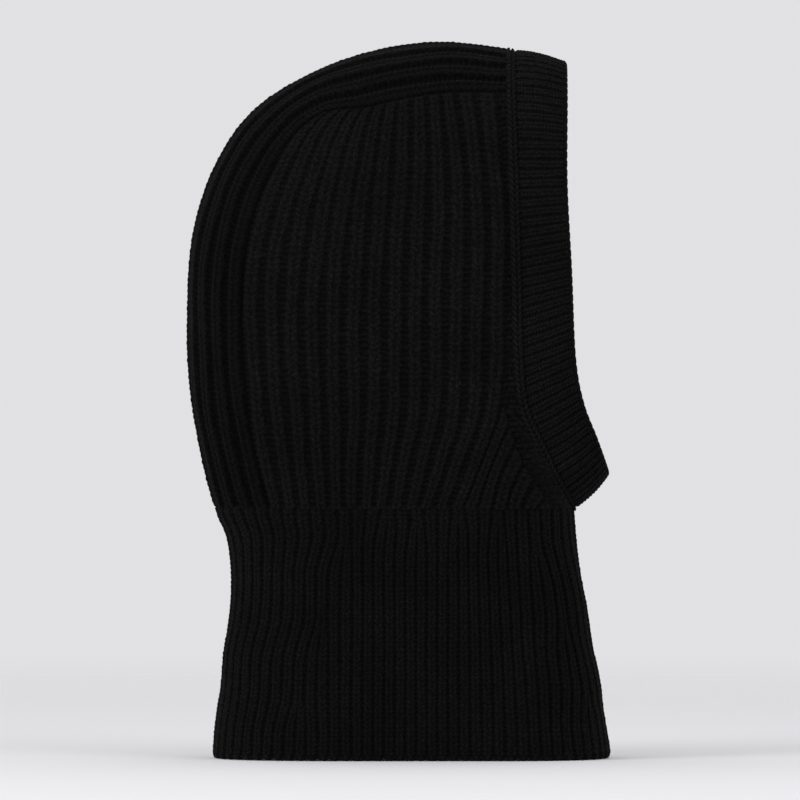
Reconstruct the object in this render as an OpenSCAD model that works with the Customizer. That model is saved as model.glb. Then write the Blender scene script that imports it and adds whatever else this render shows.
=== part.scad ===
// Ribbed wool balaclava: a hood with a face opening, a crown strip, two sides, a face band and a neck tube.
// Frame: +X is the way the face looks, +Y is the wearer's left, +Z is up.
// The origin is the middle of the hem, in the plane that the hem stands on. All lengths are millimetres.

/* [Overall size] */
// Height from the hem to the top of the crown
overall_height = 400; // [360:5:440]
// Depth from the back of the head to the chin tip of the face band
overall_depth = 237; // [210:1:260]
// Width of the hood at its widest
hood_width = 128; // [100:2:150]
// Width of the neck tube at its waist
waist_width = 98; // [80:2:110]
// Width of the neck tube at the hem
hem_width = 118; // [100:2:130]

/* [Face opening] */
// Width of the face opening between the two rims
opening_width = 94; // [76:2:100]
// Width of the bound-off edge of the face band
bind_off_width = 2.5; // [1.5:0.5:4]

/* [Knitting] */
// Thickness of the ribbed knitting
knit_thickness = 4.5; // [3:0.5:6]
// Drop of the crown strip's edge below the outline of the back, at the nape
strip_drop_nape = 31; // [26:1:36]
// Drop of the crown strip's edge below the outline of the crown, at the forehead
strip_drop_forehead = 23; // [20:1:28]
// Height of the cast-on edge at the hem
cast_on_height = 3; // [2:0.5:5]
// Height of the row where the hood's wide ribs change to the neck's fine ribs
transfer_row_height = 3; // [2:0.5:4]
// Width of the chain of linking stitches round the face
chain_width = 4; // [3:0.5:5]
// Width of the seams of the crown and the chin
seam_width = 3; // [2:0.5:4]
// How far a seam stands above the knitting
seam_height = 1.2; // [0.8:0.2:2]

/* [Hidden] */

wool = [0.06, 0.06, 0.06];
edge_wool = [0.09, 0.09, 0.09];
seam_wool = [0.12, 0.12, 0.12];

// The outlines below are drawn for a hood 237 deep and 400 high, and are stretched to the sizes above.
depth_scale = overall_depth / 237;
height_scale = overall_height / 400;
function sized(points) = [for (p = points) [p.x * depth_scale, p.y * height_scale]];

// Outlines in the side view, as [x, z]. Each starts at its lowest or rearmost point.
back_outline = sized([
    [-104, 0], [-100.5, 40], [-95.5, 75], [-93.5, 98], [-96.5, 122], [-103, 139],
    [-112, 175], [-117, 213], [-118.5, 252], [-115.5, 288], [-107, 321], [-94, 346],
    [-79, 363], [-60, 376.5], [-34, 389], [-5, 397], [29, 400], [64, 395], [94.5, 388.5]
]);
front_outline = sized([
    [118.5, 0], [115.5, 25], [110.5, 55], [105.5, 85], [100.5, 112], [98.5, 139],
    [99.5, 180], [100, 300], [100, 400]
]);
face_seam_outline = sized([
    [64, 395], [64, 371], [65.5, 320], [67, 265], [68, 222], [71, 196], [80, 175], [89.5, 155], [98.5, 139]
]);
rim_outline = sized([
    [94.5, 388.5], [94.5, 370], [94.5, 320], [97, 270], [99, 222], [103.5, 197], [111, 178], [118.5, 159.5]
]);

nape_point = 5;
forehead_point = 17;
steps = 3;
neck_line = 139 * height_scale;
waist_line = 95 * height_scale;
brow_line = 260 * height_scale;
blend_height = 45 * height_scale;
roundness = 2.2;
back_rounding = 75;
front_rounding = 60;
rim_rounding = 55;
strip_columns = 5;
strip_rings = (forehead_point - nape_point) * steps;
corner_ring = 25;
side_columns = strip_rings - corner_ring;
chin_crowding = 1.5;
narrowing = 14;
// The strip's edge rises towards the outline at the corner behind, over so many rings before and after it
corner_rise = 7.5;
rise_behind = 1.6 * steps;
rise_ahead = 0.65 * steps;

function mix(a, b, t) = a + (b - a) * t;
function clamp(t) = min(1, max(0, t));
function ease(t) = let (c = clamp(t)) c * c * (3 - 2 * c);
function unit(v) = v / norm(v);
function mirrored(p) = [p.x, -p.y, p.z];
function reversed(list) = [for (i = [len(list) - 1 : -1 : 0]) list[i]];
function joined(lists) = [for (list = lists) each list];

// Smooth curve through the points of an outline
function curve_point(p, k, t) =
    let (
        a = p[max(k - 1, 0)],
        b = p[k],
        c = p[k + 1],
        d = p[min(k + 2, len(p) - 1)]
    )
    b + t * (c - a) / 2 + t * t * (a - 2.5 * b + 2 * c - d / 2) + t * t * t * (1.5 * (b - c) + (d - a) / 2);
function curve(p) = concat(
    joined([for (k = [0 : len(p) - 2]) [for (i = [0 : steps - 1]) curve_point(p, k, i / steps)]]),
    [p[len(p) - 1]]
);

back_curve = curve(back_outline);
front_curve = curve(front_outline);
face_seam_curve = curve(face_seam_outline);
rim_curve = curve(rim_outline);
head_curve = [for (i = [(nape_point - 1) * steps : len(back_curve) - 1]) back_curve[i]];

// x of an outline at a height, for outlines that rise or fall all the way
function rising(points) = [for (p = points) [p.y, p.x]];
back_table = rising([for (i = [0 : (nape_point + 3) * steps]) back_curve[i]]);
front_table = rising(front_curve);
face_seam_table = rising(reversed(face_seam_curve));
rim_table = rising(reversed(rim_curve));

// Half the width of the whole shape at a height
function half_width(z) = z < waist_line
    ? mix(waist_width, hem_width, pow(1 - z / waist_line, 1.5)) / 2
    : mix(waist_width, hood_width, ease((z - waist_line) / (brow_line - waist_line))) / 2;

// Distance of a side-view point inside the outline of the head, and the way inwards
function along(p, a, b) = clamp(((p - a) * (b - a)) / ((b - a) * (b - a)));
function gap(p, a, b) = norm(p - a - along(p, a, b) * (b - a));
function nearest(p) =
    let (gaps = [for (i = [0 : len(head_curve) - 2]) gap(p, head_curve[i], head_curve[i + 1])])
    [min(gaps), search(min(gaps), gaps)[0]];
function inwards(i) = let (d = unit(head_curve[i + 1] - head_curve[i])) [d.y, -d.x];
function head_share(p) = ease((p.y - neck_line) / blend_height);
function inside_back(p) =
    let (level = p.x - lookup(p.y, back_table), share = head_share(p))
    share == 0 ? [level, [1, 0]] :
    let (near = nearest(p))
    share == 1 ? [near[0], inwards(near[1])] :
    [mix(level, near[0], share), unit(mix([1, 0], inwards(near[1]), share))];

// The outer surface: its half width falls to nothing at the back and front outlines along a rounded curve
function fall(q) = 1 - pow(1 - clamp(q), roundness);
function fall_slope(q) = roundness * pow(1 - clamp(q), roundness - 1);
function skin_y(p) =
    let (
        back = fall(inside_back(p)[0] / back_rounding),
        front = fall((lookup(p.y, front_table) - p.x) / front_rounding)
    )
    half_width(p.y) * pow(back * front, 1 / roundness);
function on_skin(p) = [p.x, skin_y(p), p.y];

// Outward direction of the outer surface at a point of its left half
function outwards(s) =
    let (
        p = [s.x, s.z],
        inside = inside_back(p),
        back = inside[0] / back_rounding,
        front = (lookup(p.y, front_table) - p.x) / front_rounding,
        slope = fall(front) * fall_slope(back) / back_rounding * inside[1]
            - fall(back) * fall_slope(front) / front_rounding * [1, 0],
        half = half_width(p.y)
    )
    unit([-slope.x, roundness * pow(abs(s.y) / half, roundness - 1) / half, -slope.y]);
function lining(s) = s - knit_thickness * outwards(s);

// Side-view places of the strip's columns below the outline, on one of its rings
function ring_index(ring) = nape_point * steps + ring;
function ring_drop(ring) =
    let (reach = ring < corner_ring ? rise_behind : rise_ahead)
    mix(strip_drop_nape, strip_drop_forehead, pow(ring / strip_rings, narrowing))
        - corner_rise * exp(-pow((ring - corner_ring) / reach, 2));
function ring_direction(ring) =
    let (
        i = ring_index(ring),
        d = unit(back_curve[i + 1] - back_curve[i - 1]),
        square = [d.y, -d.x],
        from_nape = ease(ring / 6),
        to_forehead = ease((strip_rings - ring) / 4)
    )
    unit(mix([0, -1], mix([1, 0], square, from_nape), to_forehead));
function column_drop(column, drop) =
    let (edge_angle = acos(pow(1 - drop / back_rounding, roundness / 2)))
    back_rounding * (1 - pow(cos(edge_angle * column / strip_columns), 2 / roundness));
function strip_place(ring, column) =
    back_curve[ring_index(ring)] + column_drop(column, ring_drop(ring)) * ring_direction(ring);
function strip_point(ring, column) = column == 0
    ? [strip_place(ring, 0).x, 0, strip_place(ring, 0).y]
    : on_skin(strip_place(ring, column));

// Columns of the neck: those of the strip at the back, then those of a side, to the front outline
function neck_x(z, column) =
    let (back = lookup(z, back_table), front = lookup(z, front_table))
    column <= strip_columns
        ? back + column_drop(column, strip_drop_nape)
        : mix(back + strip_drop_nape, front, sin(90 * (column - strip_columns) / side_columns));
neck_columns = strip_columns + side_columns;
function neck_point(z, column) = column == 0 || column == neck_columns
    ? [neck_x(z, column), 0, z]
    : on_skin([neck_x(z, column), z]);
function neck_half(z) = [for (c = [0 : neck_columns]) neck_point(z, c)];
function neck_ring(half) = concat(half, [for (c = [neck_columns - 1 : -1 : 1]) mirrored(half[c])]);

// Places down the face seam: those of the strip's last ring, then those of a side panel's front edge
function face_seam_place(i) =
    let (
        top = strip_place(strip_rings, strip_columns).y,
        z = mix(neck_line, top, pow(1 - i / corner_ring, chin_crowding))
    )
    [lookup(z, face_seam_table), z];
face_seam_half = concat(
    [for (c = [0 : strip_columns]) strip_point(strip_rings, c)],
    [for (i = [1 : corner_ring - 1]) on_skin(face_seam_place(i))],
    [neck_point(neck_line, neck_columns)]
);
band_columns = len(face_seam_half) - 1;

// The rim, point for point beside the face seam
function rim_point(i) =
    let (
        top = rim_outline[0].y,
        tip = rim_outline[len(rim_outline) - 1].y,
        seam = face_seam_half[i],
        seam_top = face_seam_outline[0].y,
        z = mix(tip, top, clamp((seam.z - neck_line) / (seam_top - neck_line))),
        y = opening_width / 2 * pow(fall((top - z) / rim_rounding) * fall((z - tip) / rim_rounding), 1 / roundness)
    )
    [lookup(z, rim_table), i == 0 || i == band_columns ? 0 : y, z];
rim_half = [for (i = [0 : band_columns]) rim_point(i)];
function loop(half) = concat(half, [for (i = [len(half) - 2 : -1 : 1]) mirrored(half[i])]);

// Outward direction of the band at the rim
function rim_outwards(i) =
    let (
        before = i == 0 ? mirrored(rim_half[1]) : rim_half[i - 1],
        after = i == band_columns ? mirrored(rim_half[band_columns - 1]) : rim_half[i + 1]
    )
    unit(cross(before - after, rim_half[i] - face_seam_half[i]));
rim_lining_half = [for (i = [0 : band_columns]) rim_half[i] - knit_thickness * rim_outwards(i)];
seam_lining_half = [for (s = face_seam_half) lining(s)];
bind_off_share = 1 - bind_off_width / (30 * depth_scale);

// Closed solid between an outer and an inner grid of points. A ring grid closes on itself.
module sheet(outer, inner, ring = false) {
    rows = len(outer);
    columns = len(outer[0]);
    last = ring ? columns - 1 : columns - 2;
    function at(layer, r, c) = (layer * rows + r) * columns + c % columns;
    function pair(a, b, c, d) = [[a, b, c], [a, c, d]];
    skins = [for (r = [0 : rows - 2], c = [0 : last]) each concat(
        pair(at(0, r, c), at(0, r, c + 1), at(0, r + 1, c + 1), at(0, r + 1, c)),
        pair(at(1, r, c), at(1, r + 1, c), at(1, r + 1, c + 1), at(1, r, c + 1))
    )];
    ends = [for (c = [0 : last]) each concat(
        pair(at(0, 0, c), at(1, 0, c), at(1, 0, c + 1), at(0, 0, c + 1)),
        pair(at(0, rows - 1, c), at(0, rows - 1, c + 1), at(1, rows - 1, c + 1), at(1, rows - 1, c))
    )];
    sides = ring ? [] : [for (r = [0 : rows - 2]) each concat(
        pair(at(0, r, 0), at(0, r + 1, 0), at(1, r + 1, 0), at(1, r, 0)),
        pair(at(0, r, last + 1), at(1, r, last + 1), at(1, r + 1, last + 1), at(0, r + 1, last + 1))
    )];
    polyhedron(points = concat(joined(outer), joined(inner)), faces = concat(skins, ends, sides));
}

// Half-round bead of stitches that lies on the surface along a line of points
module bead(line, up, width, closed = false) {
    count = len(line);
    last = count - 1;
    function neighbour(i) = closed ? (i + count) % count : min(last, max(0, i));
    function sideways(i) = unit(cross(up[i], line[neighbour(i + 1)] - line[neighbour(i - 1)]));
    section = [[-0.5, 0], [-0.35, 0.7], [0, 1], [0.35, 0.7], [0.5, 0]];
    size = len(section);
    points = [for (i = [0 : last], s = section)
        line[i] + s.x * width * sideways(i) + s.y * seam_height * up[i]];
    function at(i, s) = (i % count) * size + s % size;
    skin = [for (i = [0 : closed ? last : last - 1], s = [0 : size - 1]) each [
        [at(i, s), at(i, s + 1), at(i + 1, s + 1)],
        [at(i, s), at(i + 1, s + 1), at(i + 1, s)]
    ]];
    caps = closed ? [] : [
        [for (s = [size - 1 : -1 : 0]) at(0, s)],
        [for (s = [0 : size - 1]) at(last, s)]
    ];
    polyhedron(points = points, faces = concat(skin, caps));
}

// Tube of the neck between two heights
module neck_tube(levels) {
    halves = [for (z = levels) neck_half(z)];
    sheet([for (h = halves) neck_ring(h)], [for (h = halves) neck_ring([for (s = h) lining(s)])], ring = true);
}

module neck_rib() {
    top = neck_line - transfer_row_height;
    color(wool) neck_tube([for (i = [0 : 9]) mix(cast_on_height, top, i / 9)]);
}

module hem_cast_on() {
    color(edge_wool) neck_tube([0, cast_on_height]);
}

module neck_transfer_row() {
    color(seam_wool) neck_tube([neck_line - transfer_row_height, neck_line]);
}

module crown_strip() {
    halves = [for (r = [0 : strip_rings]) [for (c = [0 : strip_columns]) strip_point(r, c)]];
    linings = [for (h = halves) [for (s = h) lining(s)]];
    function whole(half) = concat([for (c = [strip_columns : -1 : 1]) mirrored(half[c])], half);
    color(wool) sheet([for (h = halves) whole(h)], [for (h = linings) whole(h)]);
}

// Side of the hood: a patch between the strip's edge, the neck line and the face seam
module side_panel() {
    rear = [for (r = [0 : corner_ring]) strip_point(r, strip_columns)];
    top = [for (r = [corner_ring : strip_rings]) strip_point(r, strip_columns)];
    bottom = [for (c = [strip_columns : neck_columns]) neck_point(neck_line, c)];
    front = reversed([for (i = [strip_columns : band_columns]) face_seam_half[i]]);
    function patch(r, c) =
        let (v = r / corner_ring, u = c / side_columns)
        mix(rear[r], front[r], u) + mix(bottom[c], top[c], v)
            - mix(mix(rear[0], front[0], u), mix(rear[corner_ring], front[corner_ring], u), v);
    function on_edge(r, c) = r == 0 || r == corner_ring || c == 0 || c == side_columns;
    outer = [for (r = [0 : corner_ring]) [for (c = [0 : side_columns])
        let (s = patch(r, c)) on_edge(r, c) ? s : on_skin([s.x, s.z])]];
    color(wool) sheet(outer, [for (row = outer) [for (s = row) lining(s)]]);
}

module left_side_panel() {
    side_panel();
}

module right_side_panel() {
    mirror([0, 1, 0]) side_panel();
}

// Part of the band between two shares of its width, 0 at the face seam and 1 at the rim
module band_part(shares) {
    outer = [for (t = shares) loop([for (i = [0 : band_columns]) mix(face_seam_half[i], rim_half[i], t)])];
    inner = [for (t = shares) loop([for (i = [0 : band_columns])
        mix(seam_lining_half[i], rim_lining_half[i], t)])];
    sheet(outer, inner, ring = true);
}

module face_band() {
    color(wool) band_part([0, bind_off_share / 2, bind_off_share]);
}

module rim_bind_off() {
    color(edge_wool) band_part([bind_off_share, 1]);
}

module face_linking_chain() {
    up = [for (s = face_seam_half) outwards(s)];
    color(seam_wool) bead(loop(face_seam_half), loop(up), chain_width, closed = true);
}

module crown_seam() {
    line = [for (r = [corner_ring : strip_rings - 1]) strip_point(r, strip_columns)];
    bead(line, [for (s = line) outwards(s)], seam_width);
}

module left_crown_seam() {
    color(seam_wool) crown_seam();
}

module right_crown_seam() {
    color(seam_wool) mirror([0, 1, 0]) crown_seam();
}

module chin_join() {
    chin = face_seam_half[band_columns];
    tip = rim_half[band_columns];
    away = rim_outwards(band_columns);
    color(seam_wool) bead([for (t = [0.2, 0.5, 0.9]) mix(chin, tip, t)], [away, away, away], seam_width);
}

neck_rib();
hem_cast_on();
neck_transfer_row();
crown_strip();
left_side_panel();
right_side_panel();
face_band();
rim_bind_off();
face_linking_chain();
left_crown_seam();
right_crown_seam();
chin_join();
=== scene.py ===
import math

import bpy
import numpy as np
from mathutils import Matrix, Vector


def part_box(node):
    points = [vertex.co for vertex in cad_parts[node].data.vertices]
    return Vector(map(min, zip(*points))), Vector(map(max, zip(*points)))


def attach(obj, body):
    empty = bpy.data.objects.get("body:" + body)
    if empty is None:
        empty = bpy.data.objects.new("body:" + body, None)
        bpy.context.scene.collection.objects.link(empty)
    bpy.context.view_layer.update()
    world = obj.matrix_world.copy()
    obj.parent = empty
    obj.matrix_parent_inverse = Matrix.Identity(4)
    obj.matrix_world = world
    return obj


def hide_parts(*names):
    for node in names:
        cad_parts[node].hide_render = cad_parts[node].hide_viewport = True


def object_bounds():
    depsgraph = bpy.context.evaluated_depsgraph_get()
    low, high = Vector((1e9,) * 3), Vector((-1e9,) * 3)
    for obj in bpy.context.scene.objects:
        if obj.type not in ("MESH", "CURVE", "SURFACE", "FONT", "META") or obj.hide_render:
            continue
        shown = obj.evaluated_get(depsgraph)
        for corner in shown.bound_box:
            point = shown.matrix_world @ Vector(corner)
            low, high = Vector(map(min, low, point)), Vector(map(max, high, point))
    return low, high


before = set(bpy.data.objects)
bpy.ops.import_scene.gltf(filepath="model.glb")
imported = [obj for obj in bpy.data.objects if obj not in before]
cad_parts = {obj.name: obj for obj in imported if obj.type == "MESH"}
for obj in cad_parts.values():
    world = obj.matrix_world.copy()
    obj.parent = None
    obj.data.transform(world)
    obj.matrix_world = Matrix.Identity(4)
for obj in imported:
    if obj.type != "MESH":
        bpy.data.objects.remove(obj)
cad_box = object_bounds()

# ----------------------------------------------------------
# Sizes. Shapes are worked out in millimetres and become metres in add_mesh().
# The outlines are those of part.scad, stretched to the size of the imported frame.
# ----------------------------------------------------------
MM = 0.001
DEPTH_SCALE = (cad_box[1].x - cad_box[0].x) / MM / 237
HEIGHT_SCALE = (cad_box[1].z - cad_box[0].z) / MM / 400
HOOD_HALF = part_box("left_side_panel")[1].y / MM
HEM_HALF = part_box("hem_cast_on")[1].y / MM
WAIST_HALF = HEM_HALF * 98 / 118
OPENING_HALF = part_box("rim_bind_off")[1].y / MM
CAST_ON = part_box("hem_cast_on")[1].z / MM
NECK_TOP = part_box("neck_rib")[1].z / MM
NECK_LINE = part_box("neck_transfer_row")[1].z / MM

BACK_OUTLINE = [
    (-104, 0), (-100.5, 40), (-95.5, 75), (-93.5, 98), (-96.5, 122), (-103, 139),
    (-112, 175), (-117, 213), (-118.5, 252), (-115.5, 288), (-107, 321), (-94, 346),
    (-79, 363), (-60, 376.5), (-34, 389), (-5, 397), (29, 400), (64, 395), (94.5, 388.5),
]
FRONT_OUTLINE = [
    (118.5, 0), (115.5, 25), (110.5, 55), (105.5, 85), (100.5, 112), (98.5, 139),
    (99.5, 180), (100, 300), (100, 400),
]
FACE_SEAM_OUTLINE = [
    (64, 395), (64, 371), (65.5, 320), (67, 265), (68, 222), (71, 196), (80, 175), (89.5, 155), (98.5, 139),
]
RIM_OUTLINE = [
    (94.5, 388.5), (94.5, 370), (94.5, 320), (97, 270), (99, 222), (103.5, 197), (111, 178), (118.5, 159.5),
]
# Segments of the back outline where the strip starts and ends; the corner behind counts from the nape
NAPE = 5
FOREHEAD = 17
CORNER = 8.3

# Heights where the width changes, and how far inside the outline the form is still rounded
WAIST = 95 * HEIGHT_SCALE
BROW = 260 * HEIGHT_SCALE
BLEND = 45 * HEIGHT_SCALE
ROUNDNESS = 2.2
BACK_ROUNDING = 75
FRONT_ROUNDING = 60
RIM_ROUNDING = 55

# The crown strip's edge: how far it lies inside the outline. It rises towards the outline at the corner
# behind, over so many outline segments before and after it.
DROP_AT_NAPE = 31
DROP_AT_FOREHEAD = 23
NARROWING = 14
CORNER_RISE = 7.5
RISE_BEHIND = 1.6
RISE_AHEAD = 0.65

# The knitting: its thickness, how tall a stitch is and how many ribs there are
THICKNESS = 4.5
HOOD_COURSE = 3.2
NECK_COURSE = 2.6
BAND_COURSE = 1.7
STRIP_RIBS = 9
SIDE_RIBS = 13
FAN_RIBS = 5.6
NECK_RIBS = 41
BAND_RIBS = 58
ROWS_PER_COURSE = 4

# How much of the way from groove to groove the V stitches of a rib take up
STRIP_SHARE = 0.62
SIDE_SHARE = 0.58
FAN_SHARE = 0.7
STRETCHED_SHARE = 0.72
NECK_SHARE = 0.7
BAND_SHARE = 0.7

# A fixed chance value for each stitch
CHANCE_WALES, CHANCE_COURSES = 128, 256
STITCH_CHANCE = np.random.RandomState(7).rand(CHANCE_WALES, CHANCE_COURSES)


def ease(t):
    """A soft step from 0 to 1."""
    share = np.clip(t, 0, 1)
    return share * share * (3 - 2 * share)


def mix(a, b, t):
    return a + (b - a) * t


# ----------------------------------------------------------
# The outer surface of the whole balaclava
# ----------------------------------------------------------
STEPS = 24


def smooth(points):
    """Catmull-Rom curve through an outline's points, as in part.scad."""
    p = np.array(points, float) * (DEPTH_SCALE, HEIGHT_SCALE)
    p = np.vstack([p[:1], p, p[-1:]])
    t = np.arange(STEPS)[:, None] / STEPS
    runs = []
    for a, b, c, d in zip(p[:-3], p[1:-2], p[2:-1], p[3:]):
        square = a - 2.5 * b + 2 * c - d / 2
        cube = 1.5 * (b - c) + (d - a) / 2
        runs.append(b + t * (c - a) / 2 + t**2 * square + t**3 * cube)
    return np.vstack(runs + [p[-1:]])


back = smooth(BACK_OUTLINE)
front = smooth(FRONT_OUTLINE)
face_seam = smooth(FACE_SEAM_OUTLINE)[::-1]
rim = smooth(RIM_OUTLINE)[::-1]
head = back[(NAPE - 1) * STEPS :: 3]
back_side = back[: (NAPE + 3) * STEPS]


def outline_distance(x, z):
    """How far side-view points are inside the outline of the head."""
    start, along = head[:-1], head[1:] - head[:-1]
    places = np.stack([x.ravel(), z.ravel()], 1)
    result = np.empty(len(places))
    block = 20000
    for first in range(0, len(places), block):
        offsets = places[first : first + block, None] - start
        t = np.clip((offsets * along).sum(2) / (along * along).sum(1), 0, 1)
        gaps = offsets - t[..., None] * along
        result[first : first + block] = np.sqrt((gaps * gaps).sum(2).min(1))
    return result.reshape(x.shape)


def half_width(z):
    """Half the width at each height: the hem's flare, the waist and the hood."""
    low = mix(WAIST_HALF, HEM_HALF, np.clip(1 - z / WAIST, 0, 1) ** 1.5)
    high = mix(WAIST_HALF, HOOD_HALF, ease((z - WAIST) / (BROW - WAIST)))
    return np.where(z < WAIST, low, high)


def fall(inside):
    """How the width grows from 0 on the outline to all of it, by the share of the rounding passed."""
    return 1 - (1 - np.clip(inside, 0, 1)) ** ROUNDNESS


def skin_y(x, z, inside):
    """Half the width over side-view places that lie so far inside the outline of the back."""
    ahead = np.interp(z, front[:, 1], front[:, 0]) - x
    return half_width(z) * (fall(inside / BACK_ROUNDING) * fall(ahead / FRONT_ROUNDING)) ** (1 / ROUNDNESS)


def skin(x, z):
    """The outer surface's points over side-view places, on the wearer's left."""
    inside = x - np.interp(z, back_side[:, 1], back_side[:, 0])
    share = ease((z - NECK_LINE) / BLEND)
    if share.max() > 0:
        inside = mix(inside, outline_distance(x, z), share)
    return np.stack([x, skin_y(x, z, inside), z], -1)


def lengths(points):
    """Running length along the last-but-one axis of a row of points."""
    steps = np.sqrt((np.diff(points, axis=-2) ** 2).sum(-1))
    return np.concatenate([np.zeros(steps.shape[:-1] + (1,)), np.cumsum(steps, -1)], -1)


def resample(points, shares):
    """Points at shares of a line's length."""
    run = lengths(points)
    at = np.asarray(shares) * run[-1]
    return np.stack([np.interp(at, run, points[:, k]) for k in range(points.shape[1])], -1)


def grid_normals(grid, closed=False):
    """Unit normals of a grid of points: rows lead up or forward, columns to the wearer's left."""
    along = np.gradient(grid, axis=0)
    if closed:
        across = (np.roll(grid, -1, 1) - np.roll(grid, 1, 1)) / 2
    else:
        across = np.gradient(grid, axis=1)
    normals = np.cross(along, across)
    return normals / np.maximum(np.linalg.norm(normals, axis=-1, keepdims=True), 1e-9)


def sway(points):
    """Slow unevenness of hand-smoothed wool, in millimetres; the same on every piece at one place."""
    x, y, z = points[..., 0], points[..., 1], points[..., 2]
    waves = np.sin(x / 17 + z / 41 + 0.6) * np.sin(z / 23 - y / 37 + 1.9)
    waves += 0.6 * np.sin(x / 9 - z / 13 + y / 11)
    neck_folds = np.sin((z + 0.08 * x) / 6.7) * np.exp(-(((z - 52) / 36) ** 2))
    return 0.35 * waves + 0.5 * neck_folds


# ----------------------------------------------------------
# Knitting
# ----------------------------------------------------------
def stitch_chance(wale, course):
    """A fixed chance value from 0 to 1 for each stitch."""
    row = np.floor(wale).astype(int) % CHANCE_WALES
    return STITCH_CHANCE[row, np.floor(course).astype(int) % CHANCE_COURSES]


def wavy(wale, course, reach=0.05):
    """Lets ribs wander a little sideways, as hand-smoothed ribs do."""
    rib = np.floor(wale)
    return wale + reach * np.sin(course * 0.21 + rib * 2.4) * np.sin(course * 0.057 + rib * 1.7)


def rib_relief(wale, course, share, depth, leg):
    """Height of ribbed knitting below its crests, in millimetres. wale counts ribs, with a groove at each
    whole number; course counts stitches up the rib; share is how much of its width a rib's stitches take up.
    A rib is a column of V stitches, and the groove between two ribs is a ladder of purl bars."""
    side = np.abs(wale - np.floor(wale) - 0.5)
    arm = side / (0.5 * share)
    chance = stitch_chance(wale, course)
    sink = ease((arm - 0.72) / 0.62)
    strand = np.sin(np.pi * np.clip(0.14 + 0.72 * arm, 0, 1)) ** 1.2
    phase = course - 0.9 * np.clip(arm, 0, 1) + 0.15 * (chance - 0.5)
    stroke = 0.5 + 0.5 * np.cos(2 * np.pi * phase)
    stitches = leg * ((0.75 + 0.5 * chance) * (0.35 + 0.65 * stroke) * strand - 1)
    bars = leg * (0.9 * (0.5 - 0.5 * np.cos(2 * np.pi * course)) - 0.9)
    return mix(stitches, bars - depth, sink)


def redraw(wale, share, drawn):
    """The wale whose ribs take up the share drawn by the material, for ribs knitted with another share."""
    middle = np.floor(wale) + 0.5
    side = np.interp(wale - middle, (-0.5, -share / 2, share / 2, 0.5), (-0.5, -drawn / 2, drawn / 2, 0.5))
    return middle + side


def lining_relief(wale):
    """Depth of the inner side of the knitting below the crests: the outer grooves are the inner ribs."""
    return -(THICKNESS - 1 - np.cos(2 * np.pi * wale))


def shell(base, wale, course, height, row_step, column_step, closed=False):
    """One closed sheet of knitting: a fine outer grid and a coarser lining, joined along the border."""
    normals = grid_normals(base, closed)
    outer = base + normals * (height + sway(base))[..., None]
    picked = (slice(None, None, row_step), slice(None, None, column_step))
    inner_depth = lining_relief(wale[picked]) + sway(base[picked])
    inner = base[picked] + normals[picked] * inner_depth[..., None]
    return {
        "outer": outer, "inner": inner, "closed": closed,
        "steps": (row_step, column_step),
        "wale": (wale, wale[picked]), "course": (course, course[picked]),
    }


def quads(first, rows, columns, closed, flip):
    """Corner indices of a grid's faces."""
    r, c = np.meshgrid(np.arange(rows - 1), np.arange(columns if closed else columns - 1), indexing="ij")
    a = first + r * columns + c
    b = first + r * columns + (c + 1) % columns
    face = np.stack([a, b, b + columns, a + columns], -1).reshape(-1, 4)
    return face[:, ::-1] if flip else face


def border(outer_line, inner_line, step):
    """Faces between a fine edge and the coarser edge of the lining."""
    faces = []
    for k in range(len(inner_line) - 1):
        fine = outer_line[k * step : (k + 1) * step + 1]
        faces.append(list(fine) + [inner_line[k + 1], inner_line[k]])
    return faces


def shell_faces(part, first):
    """All faces of a closed sheet whose points start at index first."""
    rows, columns = part["outer"].shape[:2]
    inner_rows, inner_columns = part["inner"].shape[:2]
    closed = part["closed"]
    row_step, column_step = part["steps"]
    second = first + rows * columns
    outer = np.arange(rows * columns).reshape(rows, columns) + first
    inner = np.arange(inner_rows * inner_columns).reshape(inner_rows, inner_columns) + second
    if closed:
        outer = np.hstack([outer, outer[:, :1]])
        inner = np.hstack([inner, inner[:, :1]])
    outside = quads(first, rows, columns, closed, True)
    lining = quads(second, inner_rows, inner_columns, closed, False)
    rim_faces = border(outer[0], inner[0], column_step)
    rim_faces += border(outer[-1][::-1], inner[-1][::-1], column_step)
    if not closed:
        rim_faces += border(outer[::-1, 0], inner[::-1, 0], row_step)
        rim_faces += border(outer[:, -1], inner[:, -1], row_step)
    return (outside, lining), rim_faces


def add_mesh(name, points, quad_faces, other_faces, wale, course, shade=None):
    """A mesh object from points in millimetres, with its knitting coordinates as a UV map.
    Edges and seams also get painted shade for each point, lighter on the stitches' crests."""
    sizes = [np.full(len(face), 4) for face in quad_faces]
    loops = [face.ravel() for face in quad_faces]
    if other_faces:
        loops.append(np.array([i for face in other_faces for i in face]))
        sizes.append(np.array([len(face) for face in other_faces]))
    loops = np.concatenate(loops)
    sizes = np.concatenate(sizes)
    starts = np.concatenate([[0], np.cumsum(sizes)[:-1]])
    mesh = bpy.data.meshes.new(name)
    mesh.vertices.add(len(points))
    mesh.vertices.foreach_set("co", (points * MM).ravel())
    mesh.loops.add(len(loops))
    mesh.loops.foreach_set("vertex_index", loops)
    mesh.polygons.add(len(sizes))
    mesh.polygons.foreach_set("loop_start", starts)
    mesh.polygons.foreach_set("loop_total", sizes)
    mesh.update(calc_edges=True)
    mesh.validate()
    uv = mesh.uv_layers.new(name="knit")
    index = np.empty(len(mesh.loops), int)
    mesh.loops.foreach_get("vertex_index", index)
    uv.data.foreach_set("uv", np.stack([wale[index], course[index]], 1).ravel())
    if shade is not None:
        light_and_shade = mesh.attributes.new("shade", "FLOAT", "POINT")
        light_and_shade.data.foreach_set("value", shade)
    mesh.polygons.foreach_set("use_smooth", np.ones(len(mesh.polygons), bool))
    piece = bpy.data.objects.new(name, mesh)
    bpy.context.scene.collection.objects.link(piece)
    return piece


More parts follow.
